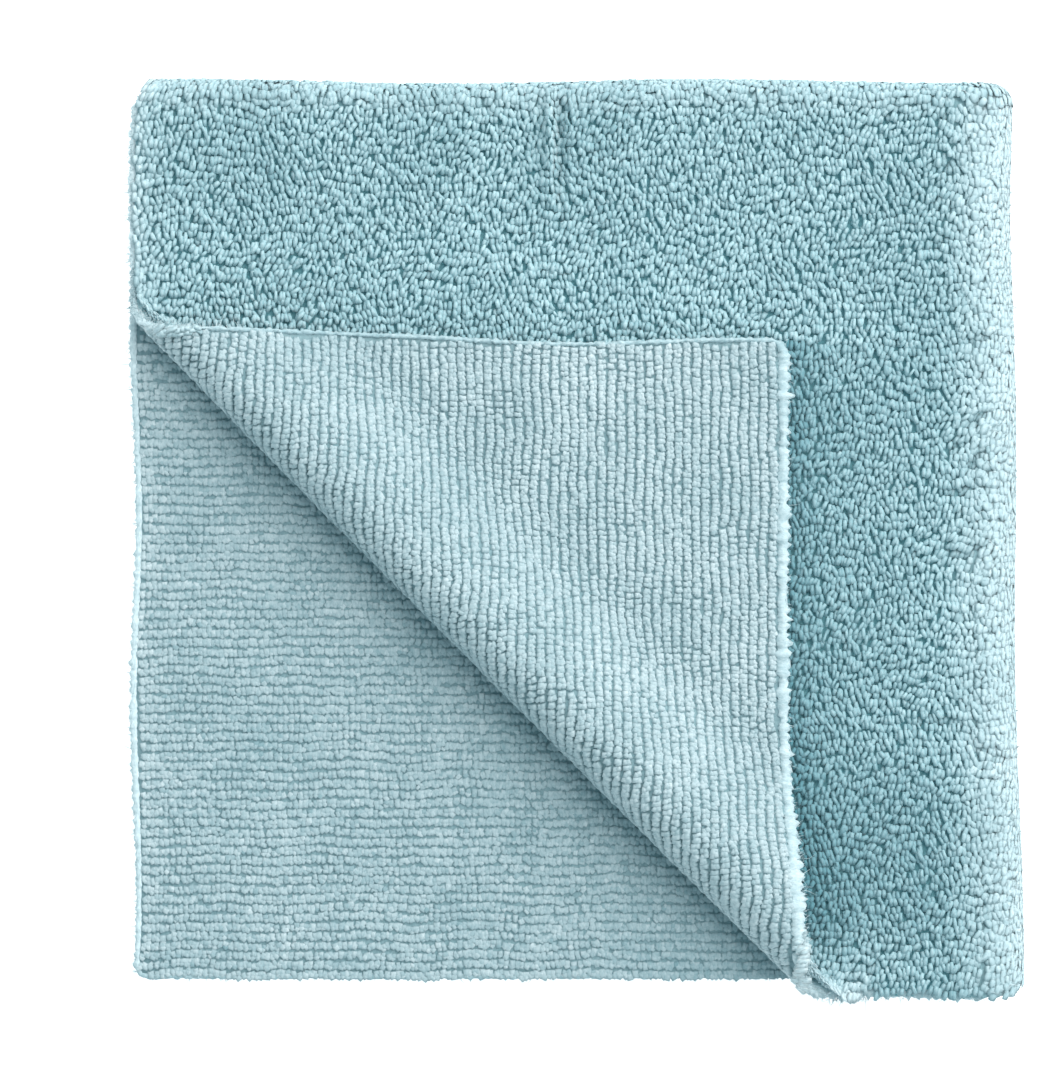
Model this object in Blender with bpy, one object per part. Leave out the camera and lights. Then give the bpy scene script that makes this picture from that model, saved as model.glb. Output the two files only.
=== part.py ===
"""Microfibre cloth folded in quarters, with one corner of its top layer turned back.

One knitted sheet, looped pile on one face and ribs on the other. It is folded in half along the top
edge (+Y) and in half again along the right edge (+X), ribs inside each time, so it lies in four layers
with the hems on the left and at the front. The front left corner of the top layer is turned back over
a plump 45 degree roll and lies on that layer, ribs up.

The sheet is meshed flat, given its thickness, and then folded by three functions in turn. Flat
coordinates are u (along X in the top layer), v (along Y in the top layer) and w, the height above the
sheet's middle, positive on the pile side. The origin is under the middle of the folded cloth, on the
surface that it rests on. All sizes are in metres.
"""

import math

import bmesh
import bpy
import numpy as np

# The knit
THICKNESS = 0.0030        # pile, ground and ribs together
LAYER_GAP = 0.0005        # air between two layers
PITCH = THICKNESS + LAYER_GAP

# Plan of the folded cloth
LEFT_X = -0.0800          # left hems of the two upper layers
LOWER_LEFT_X = -0.0797    # left hems of the two lower layers
RIGHT_X = 0.0797          # outside of the right fold, halfway up the plan
RIGHT_LEAN = 0.0024       # how much further right the fold lies at the front than at the back
TOP_Y = 0.0830            # outside of the top fold
FRONT_Y = -0.0828         # front hems of layers 1 and 4
HEM_STEP = 0.0036         # the front hems of layers 2 and 3 lie this much further back
LOWER_DRAW = 0.0235       # share by which the lower pair is drawn in, away from the side fold
DRAW_SPAN = 0.30          # share of the width, from that fold, over which the draw grows

# Folds: radius at the middle of the cloth's thickness, or of the doubled cloth's
TOP_FOLD = 0.0025
SIDE_FOLD = 0.00475
FOLD_EASE = 0.025         # the layers spread towards a fold over this length

# Turned back corner
TURN_LEG = 0.1316         # from the corner, along each hem, to where the roll starts
ROLL = 0.0055             # radius of the roll at the middle of the thickness, halfway along it
ROLL_CONE = 0.0005        # how much larger that radius is at the front end than halfway
ROLL_END = 0.0022         # radius where the roll is pinched, at the hems
PINCH = 0.018             # the roll swells from its ends over about this length
SETTLE = 0.022            # the flap comes down onto layer 1 over this length

# Hems
CORNER = 0.0028           # radius of the sheet's corners
HEM_ROUND = 0.0006        # how far the hem's middle bulges past its faces
FOLD_DRAW = 0.0024        # how far a hem is drawn in where a fold crosses it
DRAW_WIDTH = 0.0035       # half width of that draw
DRAW_DEPTH = 0.008        # how far it reaches into the cloth
HEM_SWAY = 0.0005         # wander of the left hem
SWAY_LENGTH = 0.068
SWAY_START = 0.006

# Mesh
FLAT_STEPS = 14           # cells across a quarter
FOLD_STEPS = 8            # facets round the top fold, the side fold and the roll
SETTLE_STEPS = 4
CORNER_STEPS = 2

# Soft waves of the upper layers: height, length along x, length along y, phase
WAVES = (
    (0.00045, 0.150, 0.210, 0.4),
    (0.00030, 0.085, 0.130, 2.1),
    (0.00020, 0.060, 0.075, 4.0),
)
EDGE_SWAY = 0.0004        # wander of the top fold and of the side fold
EDGE_LENGTH = 0.095

CLOTH_COLOR = (0.36, 0.56, 0.61, 1.0)
CLOTH_ROUGHNESS = 0.95

# Worked out from the sizes above
TOP_START = TOP_Y - TOP_FOLD - THICKNESS / 2                      # y where the top fold starts
SIDE_START = RIGHT_X - SIDE_FOLD - PITCH / 2 - THICKNESS / 2      # x where the side fold starts
V_BEND = TOP_START - FRONT_Y
V_ARC = math.pi * TOP_FOLD
V_SIZE = 2 * V_BEND - HEM_STEP + V_ARC
U_BEND = SIDE_START - LEFT_X
U_ARC = math.pi * SIDE_FOLD
U_AFTER = SIDE_START - LOWER_LEFT_X
U_SIZE = U_BEND + U_ARC + U_AFTER


def smooth(t):
    """Ease from 0 to 1, flat at both ends."""
    t = np.clip(t, 0.0, 1.0)
    return t * t * (3.0 - 2.0 * t)


def stations(bend, arc, size):
    """Grid lines along one side of the flat sheet: corner, quarter, fold, quarter, corner."""
    spans = (
        (0.0, CORNER, CORNER_STEPS),
        (CORNER, bend, FLAT_STEPS),
        (bend, bend + arc, FOLD_STEPS),
        (bend + arc, size - CORNER, FLAT_STEPS),
        (size - CORNER, size, CORNER_STEPS),
    )
    lines = [0.0]
    for start, end, steps in spans:
        lines.extend(start + (end - start) * (i + 1) / steps for i in range(steps))
    return lines


def round_corner(u, v):
    """Move the points of the four corner squares onto quarter discs."""
    a = np.maximum(CORNER - u, u - (U_SIZE - CORNER)) / CORNER
    b = np.maximum(CORNER - v, v - (V_SIZE - CORNER)) / CORNER
    inside = (a > 0) & (b > 0)
    a = np.where(inside, a, 0.0)
    b = np.where(inside, b, 0.0)
    shift_u = CORNER * a * (1.0 - np.sqrt(1.0 - b * b / 2.0))
    shift_v = CORNER * b * (1.0 - np.sqrt(1.0 - a * a / 2.0))
    return (
        u + np.where(u < U_SIZE / 2, shift_u, -shift_u),
        v + np.where(v < V_SIZE / 2, shift_v, -shift_v),
    )


def draw_hems(u, v):
    """Let the hems wander, and draw them in where a fold crosses them."""
    fold_v = np.exp(-(((v - V_BEND - V_ARC / 2) / DRAW_WIDTH) ** 2)) * FOLD_DRAW
    fold_u = np.exp(-(((u - U_BEND - U_ARC / 2) / DRAW_WIDTH) ** 2)) * FOLD_DRAW
    near_left = np.exp(-u / DRAW_DEPTH)
    near_right = np.exp(-(U_SIZE - u) / DRAW_DEPTH)
    near_front = np.exp(-v / DRAW_DEPTH)
    near_back = np.exp(-(V_SIZE - v) / DRAW_DEPTH)
    sway = -HEM_SWAY * np.cos(2 * math.pi * (v - SWAY_START) / SWAY_LENGTH) * near_left
    return u + fold_v * (near_left - near_right) + sway, v + fold_u * (near_front - near_back)


def turn_back(u, v, w):
    """Carry what lies past the turn line round the roll and down onto layer 1."""
    from_end = np.clip(TURN_LEG - np.abs(u - v), 0.0, None) / math.sqrt(2.0)
    pinch = (ROLL - ROLL_END) * np.exp(-from_end / PINCH)
    roll = ROLL + ROLL_CONE * (u - v) / TURN_LEG - pinch
    beyond = (TURN_LEG - u - v) / math.sqrt(2.0) - pinch
    angle = np.clip(beyond / roll, 0.0, math.pi)
    past = np.clip(beyond - math.pi * roll, 0.0, None)
    share = smooth(past / SETTLE)
    t = np.clip(past / SETTLE, 0.0, 1.0)
    drop = 2 * roll - PITCH
    loss = 0.6 * drop ** 2 / SETTLE
    tilt = np.arctan(drop * 6.0 * t * (1.0 - t) / SETTLE)
    on_roll = (roll - w) * np.sin(angle)
    on_flap = -(past - loss * share - w * np.sin(tilt))
    place = np.where(beyond <= 0.0, beyond, np.where(past > 0.0, on_flap, on_roll))
    roll_height = roll - (roll - w) * np.cos(angle)
    flap_height = 2 * roll - drop * share - w * np.cos(tilt)
    height = np.where(beyond <= 0.0, w, np.where(past > 0.0, flap_height, roll_height))
    shift = (beyond - place) / math.sqrt(2.0)
    return u + shift, v + shift, height


def quarter_fold(u, v, w):
    """Fold the sheet in half along the top, and the doubled sheet in half along the right."""
    turn = np.clip(v - V_BEND, 0.0, V_ARC) / TOP_FOLD
    y_flat = FRONT_Y + np.minimum(v, V_BEND) - np.clip(v - V_BEND - V_ARC, 0.0, None)
    spread = smooth(1.0 - (TOP_START - y_flat) / FOLD_EASE)
    half = PITCH / 2 + (TOP_FOLD - PITCH / 2) * spread
    y = y_flat + (TOP_FOLD + w) * np.sin(turn)
    offset = (half + w) * np.cos(turn)

    turn = np.clip(u - U_BEND, 0.0, U_ARC) / SIDE_FOLD
    start = SIDE_START - RIGHT_LEAN * y / (TOP_Y - FRONT_Y)
    upper = LEFT_X + (start - LEFT_X) * np.minimum(u, U_BEND) / U_BEND
    past = np.clip(u - U_BEND - U_ARC, 0.0, None) / U_AFTER
    x_flat = upper - (start - LOWER_LEFT_X) * past
    spread = smooth(1.0 - (start - x_flat) / FOLD_EASE)
    apart = 2 * half + PITCH
    apart = apart + (2 * SIDE_FOLD - apart) * spread
    x = x_flat + (SIDE_FOLD + offset) * np.sin(turn)
    z = THICKNESS / 2 + half + apart * (1.0 + np.cos(turn)) / 2 + offset * np.cos(turn)
    y = TOP_Y - (TOP_Y - y) * (1.0 - LOWER_DRAW * smooth(past / DRAW_SPAN))
    return x, y, z


def soften(x, y, z):
    """Let the stack lie a little unevenly: the bottom layer stays flat on the surface."""
    lift = smooth((z - THICKNESS) / (3 * PITCH))
    for height, length_x, length_y, phase in WAVES:
        wave = np.sin(2 * math.pi * x / length_x + phase) * np.cos(2 * math.pi * y / length_y - phase)
        z = z + height * lift * wave
    to_top = smooth(y / TOP_Y)
    to_side = smooth(x / RIGHT_X)
    sway_y = EDGE_SWAY * np.sin(2 * math.pi * x / EDGE_LENGTH) * to_top
    sway_x = EDGE_SWAY * np.sin(2 * math.pi * y / EDGE_LENGTH) * to_side
    return x + sway_x, y + sway_y, z


def flat_slab():
    """Mesh the flat sheet, cut it along the roll, and give it thickness and rounded hems."""
    bm = bmesh.new()
    columns = stations(U_BEND, U_ARC, U_SIZE)
    rows = stations(V_BEND, V_ARC, V_SIZE)
    grid = [[bm.verts.new((u, v, 0.0)) for u in columns] for v in rows]
    for j in range(len(rows) - 1):
        for i in range(len(columns) - 1):
            bm.faces.new((grid[j][i], grid[j][i + 1], grid[j + 1][i + 1], grid[j + 1][i]))

    cuts = [math.pi * ROLL * i / FOLD_STEPS for i in range(FOLD_STEPS + 1)]
    cuts += [math.pi * ROLL + SETTLE * (i + 1) / SETTLE_STEPS for i in range(SETTLE_STEPS)]
    for cut in cuts:
        leg = TURN_LEG - cut * math.sqrt(2.0)
        whole = bm.verts[:] + bm.edges[:] + bm.faces[:]
        bmesh.ops.bisect_plane(
            bm, geom=whole, dist=1e-5, plane_co=(leg, 0.0, 0.0), plane_no=(1.0, 1.0, 0.0))

    bmesh.ops.triangulate(bm, faces=bm.faces[:])
    pile_side = bmesh.ops.extrude_face_region(bm, geom=bm.faces[:])
    raised = [item for item in pile_side["geom"] if isinstance(item, bmesh.types.BMVert)]
    bmesh.ops.translate(bm, verts=raised, vec=(0.0, 0.0, THICKNESS))
    bmesh.ops.translate(bm, verts=bm.verts[:], vec=(0.0, 0.0, -THICKNESS / 2))
    upright = [e for e in bm.edges if abs(e.verts[0].co.z - e.verts[1].co.z) > THICKNESS / 2]
    bmesh.ops.subdivide_edges(bm, edges=upright, cuts=1)
    bmesh.ops.triangulate(bm, faces=[f for f in bm.faces if len(f.verts) > 3])
    bmesh.ops.recalc_face_normals(bm, faces=bm.faces[:])
    return bm


def fold_points(flat):
    """Place the flat slab's points: hems, turned corner, folds, then the soft unevenness."""
    u, v, w = flat.T
    u, v = round_corner(u, v)
    middle = np.abs(w) < THICKNESS / 4
    u = np.where(middle, U_SIZE / 2 + (u - U_SIZE / 2) * (1.0 + 2 * HEM_ROUND / U_SIZE), u)
    v = np.where(middle, V_SIZE / 2 + (v - V_SIZE / 2) * (1.0 + 2 * HEM_ROUND / V_SIZE), v)
    u, v = draw_hems(u, v)
    u, v, w = turn_back(u, v, w)
    return np.column_stack(soften(*quarter_fold(u, v, w)))


def cloth_material():
    """Aqua microfibre, matt."""
    material = bpy.data.materials.new("aqua_microfibre")
    material.use_nodes = True
    shader = material.node_tree.nodes["Principled BSDF"]
    shader.inputs["Base Color"].default_value = CLOTH_COLOR
    shader.inputs["Roughness"].default_value = CLOTH_ROUGHNESS
    shader.inputs["Metallic"].default_value = 0.0
    return material


def build_cloth():
    """Make the folded cloth as one closed solid."""
    bm = flat_slab()
    flat = np.array([vert.co[:] for vert in bm.verts])
    for vert, place in zip(bm.verts, fold_points(flat)):
        vert.co = place
    mesh = bpy.data.meshes.new("cloth")
    bm.to_mesh(mesh)
    bm.free()
    mesh.shade_smooth()
    mesh.materials.append(cloth_material())
    cloth = bpy.data.objects.new("cloth", mesh)
    bpy.context.scene.collection.objects.link(cloth)
    return cloth


def main():
    for item in list(bpy.data.objects):
        bpy.data.objects.remove(item, do_unlink=True)
    build_cloth()


main()
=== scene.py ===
"""Looks of a microfibre cloth, folded in quarters with one corner of its top layer turned back.

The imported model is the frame. This script replaces its one solid with the knitted ground, and adds the
looped pile, the ribs' stitches, the overedged hems and the loose fibres. Each is laid out flat, in the
sheet's own coordinates, and carried to its place by the same three folds that shape the solid: u runs
along X in the top layer, v along Y, and w is the height above the sheet's middle, positive on the pile
side. All sizes are in metres.
"""

import math

import bpy
import numpy as np
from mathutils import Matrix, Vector


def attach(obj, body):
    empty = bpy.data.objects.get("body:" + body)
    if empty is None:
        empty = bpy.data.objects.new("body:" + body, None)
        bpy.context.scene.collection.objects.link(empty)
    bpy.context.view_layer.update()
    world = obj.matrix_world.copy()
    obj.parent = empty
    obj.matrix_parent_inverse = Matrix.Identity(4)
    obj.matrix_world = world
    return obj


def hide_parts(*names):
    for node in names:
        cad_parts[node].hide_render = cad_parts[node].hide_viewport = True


bl_info = {
    "name": "Folded Microfibre Cloth",
    "version": (1, 0, 0),
    "blender": (4, 5, 0),
    "location": "View3D > Sidebar > Cloth",
    "description": "Knits, piles and hems a terry cloth that lies folded in quarters",
    "category": "Add Mesh",
}

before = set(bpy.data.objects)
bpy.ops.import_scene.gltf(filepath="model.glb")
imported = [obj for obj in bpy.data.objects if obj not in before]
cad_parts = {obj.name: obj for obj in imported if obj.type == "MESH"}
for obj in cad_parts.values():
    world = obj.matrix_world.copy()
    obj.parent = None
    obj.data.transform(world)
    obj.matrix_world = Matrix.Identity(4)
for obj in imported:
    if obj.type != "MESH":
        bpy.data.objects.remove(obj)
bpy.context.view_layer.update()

# The folded sheet, as the solid has it
THICKNESS = 0.0030
LAYER_GAP = 0.0005
PITCH = THICKNESS + LAYER_GAP
LEFT_X = -0.0800
LOWER_LEFT_X = -0.0797
RIGHT_X = 0.0797
RIGHT_LEAN = 0.0024
TOP_Y = 0.0830
FRONT_Y = -0.0828
HEM_STEP = 0.0036
LOWER_DRAW = 0.0235
DRAW_SPAN = 0.30
TOP_FOLD = 0.0025
SIDE_FOLD = 0.00475
FOLD_EASE = 0.025
TURN_LEG = 0.1316
ROLL = 0.0055
ROLL_CONE = 0.0005
ROLL_END = 0.0022
PINCH = 0.018
SETTLE = 0.022
SETTLE_LOSS = 0.6
CORNER = 0.0028
FOLD_DRAW = 0.0024
DRAW_WIDTH = 0.0035
DRAW_DEPTH = 0.008
HEM_SWAY = 0.0005
SWAY_LENGTH = 0.068
SWAY_START = 0.006
WAVES = (  # height, length along x, length along y, phase
    (0.00045, 0.150, 0.210, 0.4),
    (0.00030, 0.085, 0.130, 2.1),
    (0.00020, 0.060, 0.075, 4.0),
)
EDGE_SWAY = 0.0004
EDGE_LENGTH = 0.095

DIAGONAL = math.sqrt(2.0)
TOP_START = TOP_Y - TOP_FOLD - THICKNESS / 2
SIDE_START = RIGHT_X - SIDE_FOLD - PITCH / 2 - THICKNESS / 2
V_BEND = TOP_START - FRONT_Y
V_ARC = math.pi * TOP_FOLD
V_SIZE = 2 * V_BEND - HEM_STEP + V_ARC
U_BEND = SIDE_START - LEFT_X
U_ARC = math.pi * SIDE_FOLD
U_AFTER = SIDE_START - LOWER_LEFT_X
U_SIZE = U_BEND + U_ARC + U_AFTER
FLAP_LOSS = math.pi * ROLL + SETTLE_LOSS * (2 * ROLL - PITCH) ** 2 / SETTLE
FLAP_TIP = TURN_LEG - FLAP_LOSS / DIAGONAL  # the tip's u and v on layer 1

# Levels through the sheet's thickness, as w
RIB_FLOOR = -0.00085       # the ground's ribbed face, between the ribs
PILE_FLOOR = -0.00010      # the ground's pile face, under the loops
PILE_TOP = 0.00150
FACE_LIMIT = -0.00050      # what lies above it faces with the pile, and what lies below it with the ribs
FOLD_LIFT = 0.00148        # the ground's rise among the loops where a fold opens them

# One loop of the pile. All but its turn are shares of its width or height
LOOP_TURN = math.radians(100.0)  # how far its arch turns to either side
LOOP_SIDE = 0.56
LOOP_ARCH = 0.6624
LOOP_RISE = 0.34
LOOP_CREST = 0.55

# One leg of a stitch
LEG_SPREAD = 0.13          # from the rib's middle, as a share of the ribs' pitch
LEG_WIDTH = 0.46           # as a share of it too
LEG_FOOT = 0.00012         # how deep it stands in the ground

# Small marks of the photo, laid over the folds: place along x and y, half width, length, height
CREASE = (-0.0040, 0.0735, 0.0014, 0.0110, 0.0020)
DENT = (0.0725, 0.0770, 0.0016, 0.0030, 0.0012)

# How far marks along an edge reach into the cloth: painted light along the hems, bushy loops, and painted shade
# beside and behind the turned back corner
PAINTED_HEM_LIGHT_REACH = 0.0016
HEM_BUSH = 0.0012
FLAP_PAINTED_SHADE_REACH = 0.004          # beside and behind the turned back corner
BUSHY_START = 0.088        # along the turned back corner's right hem, where it begins to grow bushy
BUSHY_SPAN = 0.012
BUSHY_DEPTH = 0.0020
MOUTH_STEP = 0.0130  # from the turn line to the middle of the roll's open end
MOUTH_HALF = 0.010
MOUTH_DEPTH = 0.002
MOUTH_SLOPE = 2.2  # how much further the front end reaches in than the left one

# Where the pile parts along the side fold, on the flat sheet
PARTING_WIDTH = 0.0006
PARTING_LEAN = 0.0004
PARTINGS = (  # u, v, half length, heading from u
    (0.1468, 0.1593, 0.0012, 0.90),
    (0.1476, 0.1501, 0.0018, 0.80),
    (0.1480, 0.1425, 0.0015, 0.70),
    (0.1459, 0.1367, 0.0015, 0.50),
    (0.1519, 0.1188, 0.0022, 0.20),
    (0.1514, 0.1047, 0.0022, 0.75),
    (0.1477, 0.0997, 0.0018, 1.00),
    (0.1512, 0.0972, 0.0025, 1.00),
    (0.1486, 0.0917, 0.0028, 0.10),
    (0.1512, 0.0807, 0.0020, 0.80),
    (0.1477, 0.0801, 0.0020, -0.35),
    (0.1440, 0.0499, 0.0050, 0.05),
    (0.1530, 0.0444, 0.0022, -0.50),
    (0.1437, 0.0197, 0.0016, 0.30),
)

# The yarn's finish
FIBRE_SCALE = 2800.0
FIBRE_STRETCH = 0.45
DYE_SCALE = 45.0
MIX_SOCKETS = {"VECTOR": (4, 5, 1), "RGBA": (6, 7, 2)}  # a Mix node's two inputs and its blend

ROOT = "root"


# ---------------- sizes and colours that a user changes

def length_property(name, description, default, least):
    """A length that a user changes."""
    return bpy.props.FloatProperty(
        name=name, description=description, default=default, min=least, unit="LENGTH", precision=5)


def color_property(name, description, default):
    """A colour that a user changes."""
    return bpy.props.FloatVectorProperty(
        name=name, description=description, default=default, size=4, min=0.0, max=1.0, subtype="COLOR")


class KnitSizes(bpy.types.PropertyGroup):
    """Sizes of the knit."""

    rib_pitch: length_property("Rib pitch", "Distance from one rib to the next", 0.00172, 0.0005)
    stitch_pitch: length_property("Stitch pitch", "Distance between stitches along a rib", 0.00086, 0.0003)
    loop_row: length_property("Loop row", "Distance between rows of pile loops", 0.00136, 0.0005)
    loop_pitch: length_property("Loop pitch", "Distance between loops in a row", 0.00085, 0.0003)
    clump: length_property("Clump", "Size of the bunches that loops lean into", 0.0026, 0.001)
    leg_lean: bpy.props.FloatProperty(
        name="Leg lean", description="How far the two legs of a stitch lean to each other", default=0.30,
        min=0.0, max=1.0, subtype="ANGLE")
    seed: bpy.props.IntProperty(
        name="Seed", description="Seed of every random draw", default=7, min=0)


class ClothColors(bpy.types.PropertyGroup):
    """Colours of the yarn."""

    pile: color_property("Pile yarn", "Colour of the pile's loops at their tips", (0.435, 0.574, 0.617, 1.0))
    rib: color_property("Rib yarn", "Colour of the ribs' stitches", (0.505, 0.597, 0.630, 1.0))
    # The deep colours are painted shade: the colour down between the loops and between the ribs, where shade
    # falls
    deep: color_property("Deep pile", "Colour of the yarn down between the loops", (0.23, 0.50, 0.56, 1.0))
    rib_deep_shade: color_property("Deep rib", "Colour of the yarn down between the ribs", (0.255, 0.375, 0.41, 1.0))
    # The hem yarn's colour is also the pale colour of the painted glow on the pile
    hem: color_property("Hem yarn", "Colour of the overedge yarn, and of bleached pile", (0.57, 0.69, 0.73, 1.0))


class StageSettings(bpy.types.PropertyGroup):
    """Floor, light and camera."""

    floor: color_property("Floor", "Colour of the floor", (0.93, 0.93, 0.93, 1.0))
    glow: bpy.props.FloatProperty(
        name="Glow", description="Strength of the lit floor, which takes out shadows on it", default=0.75,
        min=0.0)
    sky: bpy.props.FloatProperty(
        name="Sky", description="Strength of the light from all round", default=0.57, min=0.0)
    key: bpy.props.FloatProperty(
        name="Key", description="Power of the large soft light at the back right", default=30.5, min=0.0,
        subtype="POWER")
    camera_height: length_property("Camera height", "Height of the camera above the cloth's middle", 0.90, 0.2)


# ---------------- the folds

def smooth(t):
    """Ease from 0 to 1, flat at both ends."""
    t = np.clip(t, 0.0, 1.0)
    return t * t * (3.0 - 2.0 * t)


def near(distance, depth):
    """1 at no distance, fading out over that depth."""
    return np.exp(-distance / depth)


def bell(distance, half):
    """1 at no distance, fading out to both sides over that half width."""
    return np.exp(-((distance / half) ** 2))


def draw_hems(u, v):
    """Let the hems wander, and draw them in where a fold crosses them."""
    fold_v = FOLD_DRAW * bell(v - V_BEND - V_ARC / 2, DRAW_WIDTH)
    fold_u = FOLD_DRAW * bell(u - U_BEND - U_ARC / 2, DRAW_WIDTH)
    left, right = near(u, DRAW_DEPTH), near(U_SIZE - u, DRAW_DEPTH)
    front, back = near(v, DRAW_DEPTH), near(V_SIZE - v, DRAW_DEPTH)
    sway = HEM_SWAY * np.cos(math.tau * (v - SWAY_START) / SWAY_LENGTH) * left
    return u + fold_v * (left - right) - sway, v + fold_u * (front - back)


def turn_back(u, v, w):
    """Carry what lies past the turn line round the roll and down onto layer 1."""
    from_end = np.clip(TURN_LEG - np.abs(u - v), 0.0, None) / DIAGONAL
    pinch = (ROLL - ROLL_END) * near(from_end, PINCH)
    roll = ROLL + ROLL_CONE * (u - v) / TURN_LEG - pinch
    beyond = (TURN_LEG - u - v) / DIAGONAL - pinch
    angle = np.clip(beyond / roll, 0.0, math.pi)
    past = np.clip(beyond - math.pi * roll, 0.0, None)
    share = smooth(past / SETTLE)
    t = np.clip(past / SETTLE, 0.0, 1.0)
    drop = 2 * roll - PITCH
    loss = SETTLE_LOSS * drop ** 2 / SETTLE
    tilt = np.arctan(drop * 6.0 * t * (1.0 - t) / SETTLE)
    on_roll = (roll - w) * np.sin(angle)
    on_layer = -(past - loss * share - w * np.sin(tilt))
    settled = np.where(beyond <= 0.0, beyond, np.where(past > 0.0, on_layer, on_roll))
    roll_height = roll - (roll - w) * np.cos(angle)
    layer_height = 2 * roll - drop * share - w * np.cos(tilt)
    height = np.where(beyond <= 0.0, w, np.where(past > 0.0, layer_height, roll_height))
    shift = (beyond - settled) / DIAGONAL
    return u + shift, v + shift, height


def quarter_fold(u, v, w):
    """Fold the sheet in half along the top, and the doubled sheet in half along the right."""
    turn = np.clip(v - V_BEND, 0.0, V_ARC) / TOP_FOLD
    y_flat = FRONT_Y + np.minimum(v, V_BEND) - np.clip(v - V_BEND - V_ARC, 0.0, None)
    spread = smooth(1.0 - (TOP_START - y_flat) / FOLD_EASE)
    half = PITCH / 2 + (TOP_FOLD - PITCH / 2) * spread
    y = y_flat + (TOP_FOLD + w) * np.sin(turn)
    offset = (half + w) * np.cos(turn)

    turn = np.clip(u - U_BEND, 0.0, U_ARC) / SIDE_FOLD
    start = SIDE_START - RIGHT_LEAN * y / (TOP_Y - FRONT_Y)
    upper = LEFT_X + (start - LEFT_X) * np.minimum(u, U_BEND) / U_BEND
    past = np.clip(u - U_BEND - U_ARC, 0.0, None) / U_AFTER
    x_flat = upper - (start - LOWER_LEFT_X) * past
    spread = smooth(1.0 - (start - x_flat) / FOLD_EASE)
    apart = 2 * half + PITCH
    apart = apart + (2 * SIDE_FOLD - apart) * spread
    x = x_flat + (SIDE_FOLD + offset) * np.sin(turn)
    z = THICKNESS / 2 + half + apart * (1.0 + np.cos(turn)) / 2 + offset * np.cos(turn)
    y = TOP_Y - (TOP_Y - y) * (1.0 - LOWER_DRAW * smooth(past / DRAW_SPAN))
    return x, y, z


def soften(x, y, z):
    """Let the stack lie a little unevenly, with the crease and the dent of its upper layers."""
    lift = smooth((z - THICKNESS) / (3 * PITCH))
    for height, length_x, length_y, phase in WAVES:
        wave = np.sin(math.tau * x / length_x + phase) * np.cos(math.tau * y / length_y - phase)
        z = z + height * lift * wave
    at_x, at_y, width, length, height = CREASE
    across = (x - at_x) / width
    z = z - 2.0 * height * lift * across * bell(across, 1.0) * bell(y - at_y, length)
    at_x, at_y, width, length, height = DENT
    z = z - height * lift * bell(x - at_x, width) * bell(y - at_y, length)
    sway_y = EDGE_SWAY * np.sin(math.tau * x / EDGE_LENGTH) * smooth(y / TOP_Y)
    sway_x = EDGE_SWAY * np.sin(math.tau * y / EDGE_LENGTH) * smooth(x / RIGHT_X)
    return x + sway_x, y + sway_y, z


def place(flat):
    """Carry flat points (..., 3) to where they lie on the folded cloth."""
    u, v, w = np.moveaxis(flat, -1, 0)
    u, v = draw_hems(u, v)
    u, v, w = turn_back(u, v, w)
    x, y, z = soften(*quarter_fold(u, v, w))
    return np.stack([x, y, np.maximum(z, 0.0)], axis=-1)


# ---------------- unevenness, and painted light and shade, over the flat sheet

def random_waves(u, v, size, seed, number, spread):
    """Waves of random headings, and of that size times a share within that spread."""
    rng = np.random.default_rng(seed)
    for _ in range(number):
        heading = rng.uniform(0.0, math.tau)
        rate = math.tau / (size * rng.uniform(*spread))
        phase = rng.uniform(0.0, math.tau)
        yield heading, rate * (u * math.cos(heading) + v * math.sin(heading)) + phase


def drift(u, v, size, seed):
    """A smooth wandering value from about -1 to 1, with humps of that size."""
    number = 7
    waves = random_waves(u, v, size, seed, number, (1.4, 2.8))
    return sum(np.sin(wave) for _, wave in waves) / math.sqrt(number)


def clumps(u, v, size, seed):
    """Where the loops bunch together: how high in a bunch a place is, and its slope along u and v."""
    number = 9
    total = np.zeros((3, len(u)))
    for heading, wave in random_waves(u, v, size, seed, number, (0.7, 1.5)):
        total += [np.sin(wave), np.cos(wave) * math.cos(heading), np.cos(wave) * math.sin(heading)]
    return total / math.sqrt(number)


def shuffle(u, v):
    """Slide places past each other, wave after wave, so that rows are lost and none crowd together."""
    rng = np.random.default_rng(41)
    turned = np.zeros_like(u)
    for size, reach in ((0.021, 0.0005), (0.013, 0.0003), (0.009, 0.0002), (0.0065, 0.00015)) * 2:
        heading = rng.uniform(0.0, math.tau)
        wave = math.tau * (u * math.cos(heading) + v * math.sin(heading)) / size + rng.uniform(0.0, 6.28)
        u = u - reach * math.sin(heading) * np.sin(wave)
        v = v + reach * math.cos(heading) * np.sin(wave)
        turned = turned + 0.5 * reach * math.tau / size * np.cos(wave)
    return u, v, turned


def pile_stations(u_range, v_range, pitch, row, rng):
    """Places for loops over a flat rectangle, shuffled out of their rows, and how far each is turned."""
    spare = 0.004
    columns = np.arange(u_range[0] - spare, u_range[1] + spare, pitch)
    rows = np.arange(v_range[0] - spare, v_range[1] + spare, row)
    u, v = np.meshgrid(columns, rows)
    u = u + (np.arange(len(rows)) % 2)[:, None] * pitch / 2
    u = (u + rng.normal(0.0, 0.13, u.shape) * pitch).ravel()
    v = (v + rng.normal(0.0, 0.13, v.shape) * row).ravel()
    u, v, turned = shuffle(u, v)
    inside = (u > u_range[0]) & (u < u_range[1]) & (v > v_range[0]) & (v < v_range[1])
    return np.stack([u, v, turned])[:, inside]


def along_arc(t, bend, arc):
    """1 round a fold's arc and 0 off it, eased at both of its ends."""
    ease = 0.002
    return smooth((t - bend) / ease + 0.5) * smooth((bend + arc - t) / ease + 0.5)


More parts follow.
